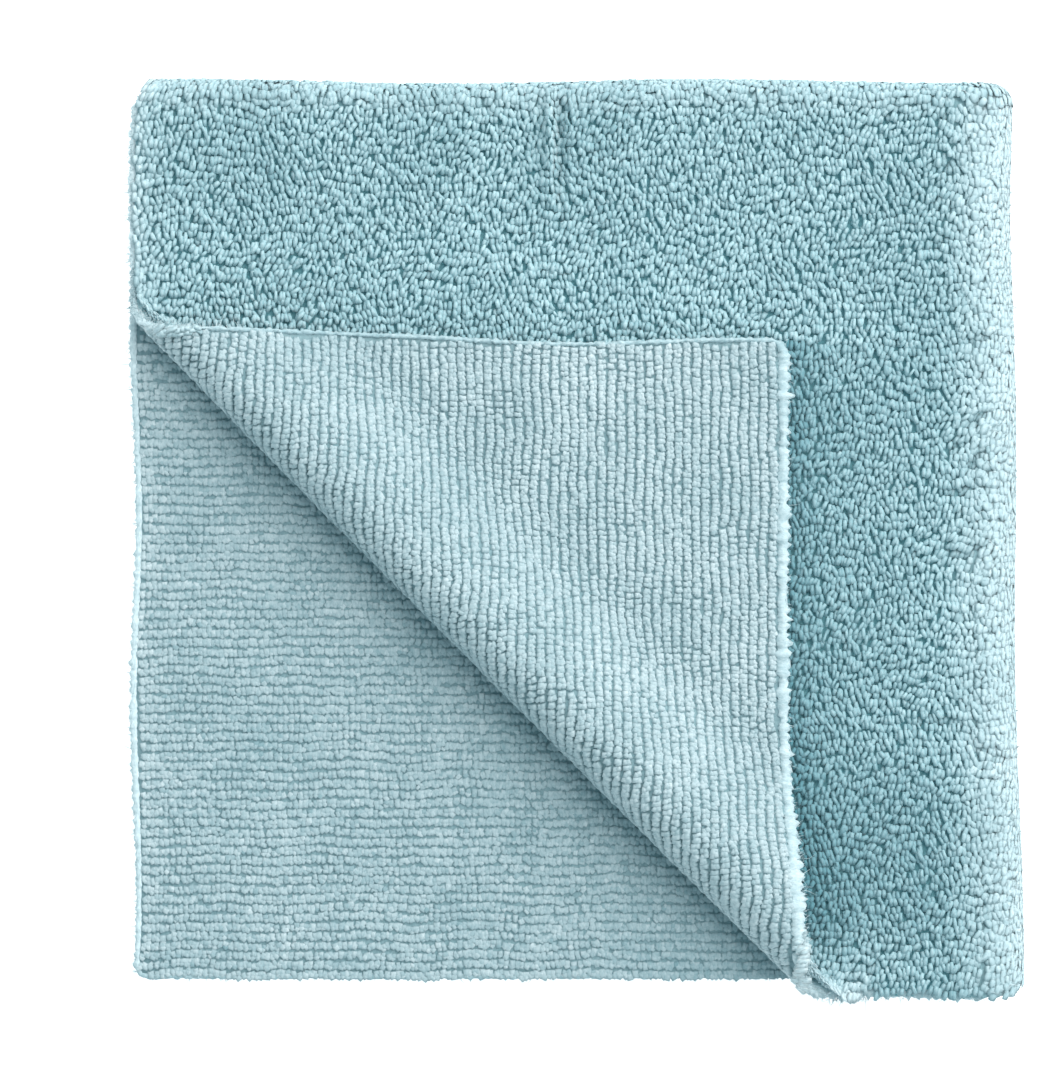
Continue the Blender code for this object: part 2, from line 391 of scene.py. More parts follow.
def outer_stretch(u, v):
    """How much wider and longer the pile side is than the sheet's middle, round the two folds."""
    outer = v < V_BEND + V_ARC / 2
    return 1.0 + 0.55 * along_arc(u, U_BEND, U_ARC) * outer, 1.0 + 0.35 * along_arc(v, V_BEND, V_ARC)


def on_flap(u, v):
    """Whether a place is on the turned back corner."""
    return u + v < TURN_LEG


def bushy_end(u, v):
    """How near a place is to the bushy lower end of the turned back corner's right hem."""
    return smooth((u - BUSHY_START) / BUSHY_SPAN) * near(v, BUSHY_DEPTH)


def roll_end(u, v):
    """How near a place is to either open end of the roll."""
    from_middle = TURN_LEG - u - v - MOUTH_STEP
    inwards = np.minimum(u, v / MOUTH_SLOPE)
    mouth = np.exp(-((from_middle / MOUTH_HALF) ** 4) - inwards / MOUTH_DEPTH)
    return mouth * (u < TURN_LEG) * (v < TURN_LEG)


def painted_hem_light_and_shade(u, v):
    """How the yarn is painted along the hems: painted light at the sides, painted shade at the front and back.
    """
    flap = on_flap(u, v)
    side = near(np.minimum(u, U_SIZE - u), PAINTED_HEM_LIGHT_REACH) * ~flap
    front = near(np.minimum(v, V_SIZE - v), PAINTED_HEM_LIGHT_REACH) * ~flap
    bushy, flap_top = bushy_end(u, v) * flap, near(u, PAINTED_HEM_LIGHT_REACH) * flap
    end = roll_end(u, v)
    # Painted light at the bushy end and at the roll's open ends, painted shade on the turned back corner's top
    # hem
    return 1.0 + 0.22 * side - 0.35 * front + (0.05 * bushy - 0.22 * flap_top) * (1.0 - end) + 0.10 * end


def painted_light_and_shade_on_pile(u, v):
    """How the pile is painted: painted shade beside and behind the turned back corner, near the front and over
    the folds, times the painted light and shade along the hems.
    """
    right, above = u - FLAP_TIP, v - FLAP_TIP
    past_right, past_top = right > -FLAP_PAINTED_SHADE_REACH, above > -FLAP_PAINTED_SHADE_REACH
    close, broad, back = 0.004, 0.014, 0.005                 # how far the corner's shade reaches
    low_middle, low_half, low_right = 0.022, 0.018, 0.150    # the painted shade in a band near the front
    gap = np.clip(right, 0.0, None)
    beside = (0.28 * near(gap, close) + 0.36 * near(gap, broad)) * past_right * (above < 0.0)
    behind = 0.10 * near(np.clip(above, 0.0, None), back) * past_top * (right < 0.0)
    low = 0.24 * bell(v - low_middle, low_half) * smooth((low_right - u) / 0.010) * past_right
    over_top = 0.07 * smooth((v - V_BEND + 0.002) / 0.003) + 0.08 * smooth((v - V_BEND) / 0.002)
    over_side = 0.05 * smooth((u - U_BEND + 0.004) / 0.010)
    open_front = smooth(v / 0.016)
    return (1.0 - (beside + low) * open_front - behind - over_top - over_side) * painted_hem_light_and_shade(u, v)


def fold_painted_glow_share(u, v):
    """How far the pile is painted pale, a painted glow, where it opens over the two folds."""
    side = smooth((u - U_BEND + 0.008) / 0.015) * (u < U_SIZE - 0.1)
    return np.maximum(0.88 * side, 0.42 * smooth((v - V_BEND + 0.004) / 0.006))


def painted_glow_share(u, v):
    """How far the pile is painted pale, a painted glow, along folds and hems, at the roll's open ends and at the
    bushy end.
    """
    upper = (u < U_BEND) & (v < V_BEND)
    hem = np.maximum(near(u, 0.0025), near(U_SIZE - u, 0.0015)) * np.where(upper, 0.6, 1.2)
    bushy = 1.5 * bushy_end(u, v) * (u < TURN_LEG)
    return np.clip(np.max([fold_painted_glow_share(u, v), hem, roll_end(u, v), bushy], axis=0), 0.0, 1.0)


def partings(u, v):
    """How deep in a parting of the pile a place is, and how far its loop leans away from it."""
    deep, lean_u, lean_v = np.zeros((3, len(u)))
    for at_u, at_v, half, heading in PARTINGS:
        along = (u - at_u) * math.cos(heading) + (v - at_v) * math.sin(heading)
        across = (v - at_v) * math.cos(heading) - (u - at_u) * math.sin(heading)
        share = np.exp(-(along / half) ** 4 - (across / PARTING_WIDTH) ** 2)
        deep = np.maximum(deep, share)
        push = PARTING_LEAN * share * np.tanh(2.0 * across / PARTING_WIDTH)
        lean_u -= push * math.sin(heading)
        lean_v += push * math.cos(heading)
    return deep, lean_u, lean_v


# ---------------- meshes

def for_points(values, count):
    """A value for each of count points, given as one for all, one for each copy or one for each point."""
    values = np.ravel(values)
    return np.repeat(values, count // len(values))


def fold_direction(flat, points):
    """Which way the cloth's own face looks at each point, as long as its share in the shading.

    It is long on the folds, where the open pile shades softly, and never quite zero.
    """
    step = 0.0001
    outward = np.where(flat[:, 2] > FACE_LIMIT, step, -step)
    lay = place(flat + outward[:, None] * [0.0, 0.0, 1.0]) - points
    share = 0.002 + 0.80 * fold_painted_glow_share(flat[:, 0], flat[:, 1])
    return lay * (share / np.linalg.norm(lay, axis=1).clip(1e-9))[:, None]


def make_piece(name, flat, faces, material, tone, depth, painted_glow):
    """Make a mesh object from flat points and faces, folded and riding on the root body."""
    flat = flat.reshape(-1, 3)
    points = place(flat)
    mesh = bpy.data.meshes.new(name)
    mesh.vertices.add(len(points))
    mesh.vertices.foreach_set("co", np.ascontiguousarray(points, dtype=np.float32).ravel())
    corners = np.concatenate([np.asarray(f, dtype=np.int32).ravel() for f in faces])
    sizes = np.concatenate([np.full(len(f), f.shape[1], dtype=np.int32) for f in faces])
    starts = np.concatenate([[0], np.cumsum(sizes)[:-1]]).astype(np.int32)
    mesh.loops.add(len(corners))
    mesh.loops.foreach_set("vertex_index", corners)
    mesh.polygons.add(len(sizes))
    mesh.polygons.foreach_set("loop_start", starts)
    mesh.update(calc_edges=True)
    mesh.validate()
    mesh.shade_smooth()
    # The points' tone is random tone times painted light and shade, their depth sets painted shade low down and
    # a painted highlight on top, and the third value is the share of painted glow
    for label, values in (("tone", tone), ("depth", depth), ("painted_glow", painted_glow)):
        layer = mesh.attributes.new(label, "FLOAT", "POINT")
        layer.data.foreach_set("value", for_points(values, len(points)).astype(np.float32))
    for label, values in (("flat", flat), ("lay", fold_direction(flat, points))):
        layer = mesh.attributes.new(label, "FLOAT_VECTOR", "POINT")
        layer.data.foreach_set("vector", values.astype(np.float32).ravel())
    mesh.materials.append(material)
    piece = bpy.data.objects.new(name, mesh)
    bpy.context.scene.collection.objects.link(piece)
    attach(piece, ROOT)
    return piece


def tubes(number, sides, rings, start, end):
    """Faces of that many tubes: rings of points, with a point that closes the start, the end or both."""
    k = np.arange(sides)
    after = (k + 1) % sides
    first = int(start)
    last = first + rings * sides
    faces = []
    if start:
        faces.append(np.stack([0 * k, 1 + after, 1 + k], axis=1))
    for base in range(first, last - sides, sides):
        faces.append(np.stack([base + k, base + after, base + sides + after, base + sides + k], axis=1))
    if end:
        faces.append(np.stack([last + 0 * k, last - sides + k, last - sides + after], axis=1))
    shift = (np.arange(number) * (last + int(end)))[:, None, None]
    return [(f + shift).reshape(-1, f.shape[1]) for f in faces]


def rotate(x, y, yaw):
    """Turn the offsets of each copy's points by that copy's angle."""
    spin, slide = np.cos(yaw)[:, None], np.sin(yaw)[:, None]
    return x * spin - y * slide, y * spin + x * slide


def raise_loops(name, places, sizes, sides, rings, rng, material, scale=1.0, face=1.0):
    """Raise one bent grain of pile at each place, on the pile's face or, spilt over the hem, on the ribs'."""
    u, v, turned = places
    number = len(u)
    wide, long = outer_stretch(u, v)
    bunch, toward_u, toward_v = clumps(u, v, sizes.clump, 11)
    parted, parted_u, parted_v = partings(u, v)
    # pale is the share of painted glow; the same share also widens, flattens and steadies the loops
    pale = painted_glow_share(u, v)
    wander = 1.0 - 0.8 * pale
    end = roll_end(u, v)

    width = sizes.loop_pitch * scale * rng.normal(1.00, 0.14, number) * (1.0 + 0.50 * pale)
    length = sizes.loop_row * scale * rng.normal(1.22, 0.16, number) * (1.0 + 0.15 * pale)
    proud = 0.95 + 0.08 * bunch * (1.0 - pale) + 0.10 * (wide - 1.0) + 0.5 * (long - 1.0)
    height = (PILE_TOP - PILE_FLOOR) * (proud + rng.normal(0.0, 0.06, number) * wander)
    height = height * (1.0 - 0.5 * parted) * (1.0 + np.where(u < v, 0.6, 1.0) * end)
    floor = PILE_FLOOR
    if face < 0.0:
        floor, height = RIB_FLOOR, -0.45 * height
    yaw = 0.12 - 0.6 * turned + 0.16 * drift(u, v, 0.012, 12) + rng.normal(0.0, 0.28, number)
    lean_u = (0.00020 * toward_u + rng.normal(0.0, 0.00010, number)) * wander + parted_u
    lean_v = (0.00020 * toward_v + rng.normal(0.0, 0.00010, number)) * wander + parted_v
    tone = 1.0 + 0.05 * drift(u, v, 0.012, 15) + (0.05 * bunch + rng.normal(0.0, 0.08, number)) * wander
    # Painted light and shade on the pile, and painted shade down in the partings
    tone = tone * painted_light_and_shade_on_pile(u, v) * (1.0 - 0.30 * parted)
    tilt = 0.10 * drift(u, v, 0.006, 16) + rng.normal(0.0, 0.12, number)
    fluff = end * rng.gamma(6.0, (0.0005 + 0.0004 * face) / 6.0, number)
    bushy = 0.0002 * ~on_flap(u, v)
    lean_u += bushy * (near(U_SIZE - u, HEM_BUSH) - near(u, HEM_BUSH)) - fluff * (u < v)
    lean_v += bushy * (near(V_SIZE - v, HEM_BUSH) - near(v, HEM_BUSH)) - fluff * (u > v)
    lean_v -= 0.0007 * bushy_end(u, v) * on_flap(u, v)

    ring = math.tau * np.arange(sides) / sides
    ring = ring - 0.25 * np.sin(ring)  # more of its points face up
    stations = np.concatenate([[-1.0], np.repeat(rings, sides), [1.0]])
    angles = np.concatenate([[0.0], np.tile(ring, len(rings)), [0.0]])
    turn = stations * LOOP_TURN
    fat = np.sqrt(np.clip(1.0 - np.abs(stations) ** 2.4, 0.0, 1.0))
    rise = LOOP_RISE * fat * np.cos(angles)
    across = face * LOOP_SIDE * width[:, None] * fat * np.sin(angles)
    along = np.sin(turn) * (0.5 * length[:, None] + 0.0008 * rise)
    level = np.cos(turn) * (LOOP_ARCH + LOOP_CREST * rise) + tilt[:, None] * stations
    level = 1.0 - (1.0 - np.clip(level, -0.3, 1.2)) * (0.48 - 0.40 * pale)[:, None]
    upper = np.clip(level, 0.0, 1.0)
    across, along = rotate(across, along, -yaw)
    flat_u = u[:, None] + (across + lean_u[:, None] * upper) / wide[:, None]
    flat_v = v[:, None] + (along + lean_v[:, None] * upper) / long[:, None]
    flat = np.stack([flat_u, flat_v, floor + level * height[:, None]], axis=-1)
    # Painted highlight along each loop's crest and painted shade down its sides and towards the ground
    crown = 0.5 + 0.5 * np.cos(angles)  # the yarn is lightest along its crest
    depth = upper * (0.30 + 0.70 * crown ** 3)
    make_piece(name, flat, tubes(number, sides, len(rings), True, True), material, tone, depth, pale)


def knit_stitches(name, u, v, slant, proud, painted_brightness, rough, sizes, rng, material):
    """Knit a stitch at each place, as two legs side by side across the rib, proud of the ribbed face."""
    number = 2 * len(u)
    lean = sizes.leg_lean * rough * rng.normal(1.0, 0.25, number)
    leg = np.repeat([1.0, -1.0], len(u))
    u = np.tile(u, 2) + rng.normal(0.0, 0.13, number) * sizes.stitch_pitch
    v = np.tile(v, 2) + (leg * LEG_SPREAD + rng.normal(0.0, 0.045, number) * rough) * sizes.rib_pitch
    width = sizes.rib_pitch * LEG_WIDTH * rng.normal(1.0, 0.12, number)
    length = sizes.stitch_pitch * rng.normal(1.0, 0.14, number)
    uneven = 1.0 + 0.06 * drift(u, v, 0.004, 23) + rng.normal(0.0, 0.075, number) * rough
    height = (RIB_FLOOR + THICKNESS / 2) * proud * uneven
    yaw = slant + leg * lean + 0.08 * drift(u, v, 0.008, 21) + rng.normal(0.0, 0.20, number) * rough
    tone = 1.0 + 0.04 * drift(u, v, 0.010, 22) + rng.normal(0.0, 0.07, number) * rough
    # Painted light and shade on the stitches
    tone = tone * np.tile(painted_brightness, 2)

    sides = 4
    points = [1, sides, sides]  # its tip, shoulder and foot
    radius, rise = np.repeat([0.0, 0.68, 1.0], points), np.repeat([1.0, 0.86, 0.10], points)
    ring = np.append(0.0, np.tile((np.arange(sides) + 0.5) * math.tau / sides, 2))
    along, across = radius * np.cos(ring) * length[:, None], radius * np.sin(ring) * width[:, None]
    along, across = rotate(along, across, yaw)
    flat_w = RIB_FLOOR + LEG_FOOT - rise * (height[:, None] + LEG_FOOT)
    flat = np.stack([u[:, None] + along, v[:, None] + across, flat_w], axis=-1)
    # Each leg's rise is its depth: painted highlight on its tip, painted shade at its foot between the ribs
    make_piece(name, flat, tubes(number, sides, 2, True, False), material, tone, np.tile(rise, number), 0.0)


# ---------------- materials

def fill(made, sockets):
    """Link each named input of a node to another node's output, or set it to a constant."""
    for key, value in sockets.items():
        if isinstance(value, bpy.types.NodeSocket):
            made.id_data.links.new(value, made.inputs[key])
        else:
            made.inputs[key].default_value = value


def node(tree, kind, sockets, **settings):
    """Add a node with its settings, and fill its inputs."""
    made = tree.nodes.new(kind)
    for key, value in settings.items():
        setattr(made, key, value)
    fill(made, sockets)
    return made


def attribute(tree, name, output="Fac"):
    """What the mesh's points hold under that name."""
    return node(tree, "ShaderNodeAttribute", {}, attribute_name=name).outputs[output]


def ranged(tree, value, low, high, start=0.0, stop=1.0):
    """A value that goes from low to high while another one goes from start to stop."""
    sockets = {"Value": value, "From Min": start, "From Max": stop, "To Min": low, "To Max": high}
    return node(tree, "ShaderNodeMapRange", sockets).outputs["Result"]


def multiplied(tree, kind, first, second):
    """The product of two values or, with the vector node's kind, of two colours."""
    return node(tree, kind, {0: first, 1: second}, operation="MULTIPLY").outputs[0]


def mixed(tree, kind, share, first, second, **settings):
    """The blend of two colours or vectors."""
    at_first, at_second, at_blend = MIX_SOCKETS[kind]
    sockets = {0: share, at_first: first, at_second: second}
    return node(tree, "ShaderNodeMix", sockets, data_type=kind, **settings).outputs[at_blend]


def new_group(name, takes, gives):
    """A shader node group with named inputs and outputs of those kinds, its inputs, and its output node."""
    group = bpy.data.node_groups.new(name, "ShaderNodeTree")
    for in_out, sockets in (("INPUT", takes), ("OUTPUT", gives)):
        for label, kind in sockets.items():
            group.interface.new_socket(label, in_out=in_out, socket_type="NodeSocket" + kind)
    return group, group.nodes.new("NodeGroupInput").outputs, group.nodes.new("NodeGroupOutput")


def fibre_grain(name):
    """Fine fibre grain: a height for bump and a mask that lightens stray fibres."""
    group, given, result = new_group(
        name, {"Place": "Vector", "Scale": "Float", "Stretch": "Float"}, {"Height": "Float", "Mask": "Float"})
    scaling = node(group, "ShaderNodeCombineXYZ", {"X": 1.0, "Y": given["Stretch"], "Z": 1.0})
    mapped = multiplied(group, "ShaderNodeVectorMath", given["Place"], scaling.outputs["Vector"])
    noise = node(group, "ShaderNodeTexNoise", {
        "Vector": mapped, "Scale": given["Scale"], "Detail": 2.0, "Roughness": 0.6}).outputs["Fac"]
    fill(result, {"Height": noise, "Mask": ranged(group, noise, 0.0, 1.0, 0.36, 0.64)})
    return group


def uneven_dye(name):
    """Uneven dye: a slow mask over the cloth."""
    group, given, result = new_group(name, {"Scale": "Float"}, {"Mask": "Float"})
    coords = node(group, "ShaderNodeTexCoord", {})
    noise = node(group, "ShaderNodeTexNoise", {
        "Vector": coords.outputs["Object"], "Scale": given["Scale"], "Detail": 2.0, "Roughness": 0.5})
    fill(result, {"Mask": ranged(group, noise.outputs["Fac"], 0.0, 1.0, 0.30, 0.70)})
    return group


def yarn_color(name):
    """Yarn colour: deep, a painted shade, between the loops, light, a painted highlight, on top, and pale, a
    painted glow, over folds and hems; toned, dyed and grained.
    """
    group, given, result = new_group(
        name,
        {"Depth": "Float", "Fade": "Float", "Tone": "Float", "Dye": "Float", "Grain": "Float",
         "Light": "Color", "Deep shade": "Color", "Pale": "Color"},
        {"Color": "Color"})
    risen = ranged(group, given["Depth"], 0.0, 1.0, 0.15, 0.90)
    lit = mixed(group, "RGBA", risen, given["Deep shade"], given["Light"])
    with_painted_glow = mixed(group, "RGBA", given["Fade"], lit, given["Pale"])
    dyed = ranged(group, given["Dye"], 0.94, 1.05)
    grained = ranged(group, given["Grain"], 0.86, 1.12)
    both = multiplied(group, "ShaderNodeMath", dyed, grained)
    toned = multiplied(group, "ShaderNodeMath", both, given["Tone"])
    # Tone below one, much of it painted shade, turns the colour darker and more teal; above one, much of it
    # painted light, paler and more neutral
    shadow, full = (0.0, 0.28, 0.34, 1.0), (1.0, 1.0, 1.0, 1.0)
    shade = mixed(group, "RGBA", toned, shadow, full, clamp_factor=False)
    fill(result, {"Color": multiplied(group, "ShaderNodeVectorMath", with_painted_glow, shade)})
    return group


def soft_lay(name):
    """Soft shading of open pile: blends the yarn's normal with the way the cloth's face looks."""
    group, given, result = new_group(name, {"Lay": "Vector", "Normal": "Vector"}, {"Normal": "Vector"})
    facing = node(group, "ShaderNodeVectorTransform", {"Vector": given["Lay"]},
                  vector_type="NORMAL", convert_from="OBJECT", convert_to="WORLD")
    share = node(group, "ShaderNodeVectorMath", {0: given["Lay"]}, operation="LENGTH")
    blend = mixed(group, "VECTOR", share.outputs["Value"], given["Normal"], facing.outputs["Vector"])
    unit = node(group, "ShaderNodeVectorMath", {0: blend}, operation="NORMALIZE")
    fill(result, {"Normal": unit.outputs["Vector"]})
    return group


def place_group(tree, make, sockets):
    """Place a shared group, which is built once, with this material's own values."""
    group = bpy.data.node_groups.get(make.__name__) or make(make.__name__)
    return node(tree, "ShaderNodeGroup", sockets, node_tree=group).outputs


def new_material(name):
    """A material with its node tree and its shader."""
    material = bpy.data.materials.new(name)
    material.use_nodes = True
    return material, material.node_tree, material.node_tree.nodes["Principled BSDF"]


def yarn_material(name, light, deep, pale, sheen, relief):
    """Microfibre yarn with uneven dye, fibre grain, sheen, and the painted shade, highlight and glow that its
    points hold.
    """
    material, tree, shader = new_material(name)
    fibres = place_group(tree, fibre_grain, {
        "Place": attribute(tree, "flat", "Vector"), "Scale": FIBRE_SCALE, "Stretch": FIBRE_STRETCH})
    dye = place_group(tree, uneven_dye, {"Scale": DYE_SCALE})
    color = place_group(tree, yarn_color, {
        "Depth": attribute(tree, "depth"), "Fade": attribute(tree, "painted_glow"), "Tone": attribute(tree, "tone"),
        "Dye": dye["Mask"], "Grain": fibres["Mask"], "Light": light, "Deep shade": deep, "Pale": pale})
    bump = node(tree, "ShaderNodeBump", {"Strength": relief, "Distance": 0.0002, "Height": fibres["Height"]})
    soft = place_group(tree, soft_lay, {
        "Lay": attribute(tree, "lay", "Vector"), "Normal": bump.outputs["Normal"]})
    fill(shader, {
        "Base Color": color["Color"], "Metallic": 0.0, "Specular IOR Level": 0.25,
        "Roughness": ranged(tree, fibres["Height"], 0.78, 0.95), "Normal": soft["Normal"],
        "Sheen Weight": sheen, "Sheen Roughness": 0.45, "Sheen Tint": (0.85, 0.97, 1.0, 1.0)})
    return material


def yarn(name, colors):
    """The yarn of the pile, the ribs or the hems, built once."""
    light, deep, sheen, relief = {
        "pile_yarn": (colors.pile, colors.deep, 0.45, 0.4),
        "rib_yarn": (colors.rib, colors.rib_deep_shade, 0.45, 0.4),
        "hem_yarn": (colors.hem, colors.pile, 0.50, 0.6),
    }[name]
    return bpy.data.materials.get(name) or yarn_material(name, light, deep, colors.hem, sheen, relief)


def floor_material(color, glow):
    """Pale seamless paper with a faint tooth, lit from below."""
    material, tree, shader = new_material("pale_paper")
    coords = node(tree, "ShaderNodeTexCoord", {})
    tooth = place_group(tree, fibre_grain, {"Place": coords.outputs["Object"], "Scale": 900.0, "Stretch": 1.0})
    fill(shader, {
        "Base Color": color, "Specular IOR Level": 0.1,
        "Roughness": ranged(tree, tooth["Height"], 0.85, 0.95),
        "Emission Color": (1.0, 1.0, 1.0, 1.0), "Emission Strength": glow})
    return material


# ---------------- operators, one for each group of pieces

class CLOTH_OT_ground(bpy.types.Operator):
    """Knit the ground: the closed sheet that carries ribs and pile"""

    bl_idname = "cloth.ground"
    bl_label = "Knit the ground"

    def execute(self, context):
        colors = context.scene.cloth_colors

        def stations(bend, arc, size, before, round_fold, after):
            inset = 0.0005
            at = np.concatenate([
                np.linspace(0.0, bend, before), np.linspace(bend, bend + arc, round_fold)[1:],
                np.linspace(bend + arc, size, after)[1:]])
            return inset + at * (size - 2 * inset) / size

        columns = stations(U_BEND, U_ARC, U_SIZE, 50, 14, 36)
        rows = stations(V_BEND, V_ARC, V_SIZE, 52, 12, 40)
        u, v = np.meshgrid(columns, rows)
        high = np.stack([u, v, PILE_FLOOR + FOLD_LIFT * fold_painted_glow_share(u, v)], axis=-1).reshape(-1, 3)
        low = np.stack([u, v, np.full_like(u, RIB_FLOOR)], axis=-1).reshape(-1, 3)
        index = np.arange(u.size).reshape(u.shape)
        top = np.stack([index[:-1, :-1], index[:-1, 1:], index[1:, 1:], index[1:, :-1]], axis=-1).reshape(-1, 4)
        under = top[:, ::-1] + u.size
        rim = np.concatenate([index[0, :], index[1:, -1], index[-1, -2::-1], index[-2:0:-1, 0]])
        after = np.roll(rim, -1)
        wall = np.stack([rim, rim + u.size, after + u.size, after], axis=1)
        flat = np.concatenate([high, low])
        # The ground shows its deep colours all over: painted shade under the loops and between the ribs; its
        # pile face also takes the painted glow on the folds and hems
        painted_glow = painted_glow_share(flat[:, 0], flat[:, 1]) * (flat[:, 2] > RIB_FLOOR)
        ground = make_piece("ground", flat, [top, under, wall], yarn("pile_yarn", colors), 1.0, 0.0, painted_glow)
        ground.data.materials.append(yarn("rib_yarn", colors))
        side = np.repeat([0, 1, 0], [len(top), len(under), len(wall)])
        ground.data.polygons.foreach_set("material_index", side)
        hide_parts("cloth")
        return {"FINISHED"}


class CLOTH_OT_pile(bpy.types.Operator):
    """Raise the looped pile: the top, the folds, the hems and the underside"""

    bl_idname = "cloth.pile"
    bl_label = "Raise the pile"

    def execute(self, context):
        sizes = context.scene.knit_sizes
        pile_yarn = yarn("pile_yarn", context.scene.cloth_colors)
        rng = np.random.default_rng(sizes.seed)
        pitch, row = sizes.loop_pitch, sizes.loop_row
        fine, coarse = (-0.55, 0.0, 0.55), (-0.4, 0.4)        # stations of a grain's rings
        hidden = FLAP_TIP - 0.0035                            # no pile under the turned back corner
        inset, band, under = 0.0006, 0.0032, 2.6              # from the edge, along the hems, coarser below

        def raise_where(name, places, keep, sides, rings, scale=1.0, face=1.0):
            raise_loops(name, places[:, keep], sizes, sides, rings, rng, pile_yarn, scale, face)

        places = pile_stations((0.0, U_BEND), (0.0, V_BEND), pitch, row, rng)
        u, v, _ = places
        clear = (u > 0.0005) & (v > inset)
        raise_where("pile_back", places, clear & (v > hidden), 5, fine)
        raise_where("pile_right", places, clear & (v <= hidden) & (u > hidden), 5, fine)

        places = pile_stations((0.0005, U_SIZE - 0.0005), (V_BEND, V_BEND + V_ARC), pitch, row / 1.35, rng)
        raise_where("pile_top_fold", places, slice(None), 4, fine)
        places = pile_stations((U_BEND, U_BEND + U_ARC), (inset, V_BEND), pitch / 1.55, row, rng)
        raise_where("pile_side_fold", places, slice(None), 4, fine)

        places = pile_stations((0.0, U_SIZE), (0.0, V_SIZE), pitch, row, rng)
        u, v, _ = places
        edge = (u < band) | (v < band) | (u > U_SIZE - band) | (v > V_SIZE - band)
        on_top = (u < U_BEND) & (v < V_BEND) & ((u > hidden) | (v > hidden))
        on_fold = ((v > V_BEND) & (v < V_BEND + V_ARC)) | ((u > U_BEND) & (u < U_BEND + U_ARC) & (v < V_BEND))
        within = (u > inset) & (v > inset) & (u < U_SIZE - inset) & (v < V_SIZE - inset)
        raise_where("pile_hems", places, edge & within & ~on_top & ~on_fold, 5, coarse)

        for side, face, across, along in (
            ("in", 1.0, (inset, 0.007), (TURN_LEG - 0.026, TURN_LEG)),
            ("over", -1.0, (0.0002, 0.0016), (TURN_LEG - 0.023, TURN_LEG - MOUTH_STEP)),
        ):
            for end, u_range, v_range in (("left", across, along), ("front", along, across)):
                places = pile_stations(u_range, v_range, pitch * 0.8, row * 0.7, rng)
                open_end = roll_end(places[0], places[1]) > 0.15
                raise_where("pile_roll_" + end + "_" + side, places, open_end, 5, fine, 1.0, face)

        places = pile_stations(
            (U_BEND + U_ARC, U_SIZE - band), (band, V_BEND), pitch * under, row * under, rng)
        raise_where("pile_under", places, slice(None), 4, coarse, under)
        return {"FINISHED"}


class CLOTH_OT_ribs(bpy.types.Operator):
    """Knit the ribs' stitches where they show: the turned back corner and layer 2"""

    bl_idname = "cloth.ribs"
    bl_label = "Knit the ribs"

    def execute(self, context):
        sizes = context.scene.knit_sizes
        rib_yarn = yarn("rib_yarn", context.scene.cloth_colors)
        rng = np.random.default_rng(sizes.seed + 1)
        side_hem, front_hem = 0.0012, 0.0030

        def stations(u_range, v_range):
            columns = np.arange(u_range[0], u_range[1], sizes.stitch_pitch)
            rows = np.arange(v_range[0], v_range[1], sizes.rib_pitch)
            u, v = np.meshgrid(columns, rows)
            u = u + rng.normal(0.0, 0.08, u.shape) * sizes.stitch_pitch
            u = u + 0.00045 * drift(u, v, 0.006, 33)
            v = v + rng.normal(0.0, 0.03, v.shape) * sizes.rib_pitch
            v = v + 0.00022 * drift(u, v, 0.010, 31) + 0.00010 * drift(u, v, 0.003, 32)
            return u.ravel(), v.ravel()

        u, v = stations((side_hem, TURN_LEG), (front_hem, TURN_LEG))
        turned = u + v < TURN_LEG + 0.003
        u, v = u[turned], v[turned]
        # Painted shade on the stitches near the roll
        past = (TURN_LEG - u - v) / DIAGONAL - 0.012
        painted_brightness = 0.96 - 0.08 * smooth(1.0 - past / 0.050)
        knit_stitches("ribs_turned_corner", u, v, 0.0, 1.0, painted_brightness, 0.9, sizes, rng, rib_yarn)

        start = V_BEND + V_ARC
        last = V_SIZE - 0.0005
        u, v = stations((side_hem, TURN_LEG + 0.01), (start + (last - start) % sizes.rib_pitch, last + 0.0001))
        back_y = TOP_START - (v - start)
        bare = LEFT_X + u + back_y < LEFT_X + FRONT_Y + TURN_LEG + 0.006
        rounding = 0.0034
        from_side, from_end = rounding - u, v - V_SIZE + rounding
        bare &= (np.hypot(from_side, from_end) < rounding - 0.0002) | (from_side < 0.0) | (from_end < 0.0)
        u, v = u[bare], v[bare]
        # Painted light along the left hem, and painted shade towards the right
        painted_brightness = 0.845 + 0.16 * near(u - side_hem, 0.0022) - 0.11 * smooth((u - 0.060) / 0.040)
        knit_stitches("ribs_layer_2", u, v, 0.35, 0.78, painted_brightness, 1.4, sizes, rng, rib_yarn)
        return {"FINISHED"}


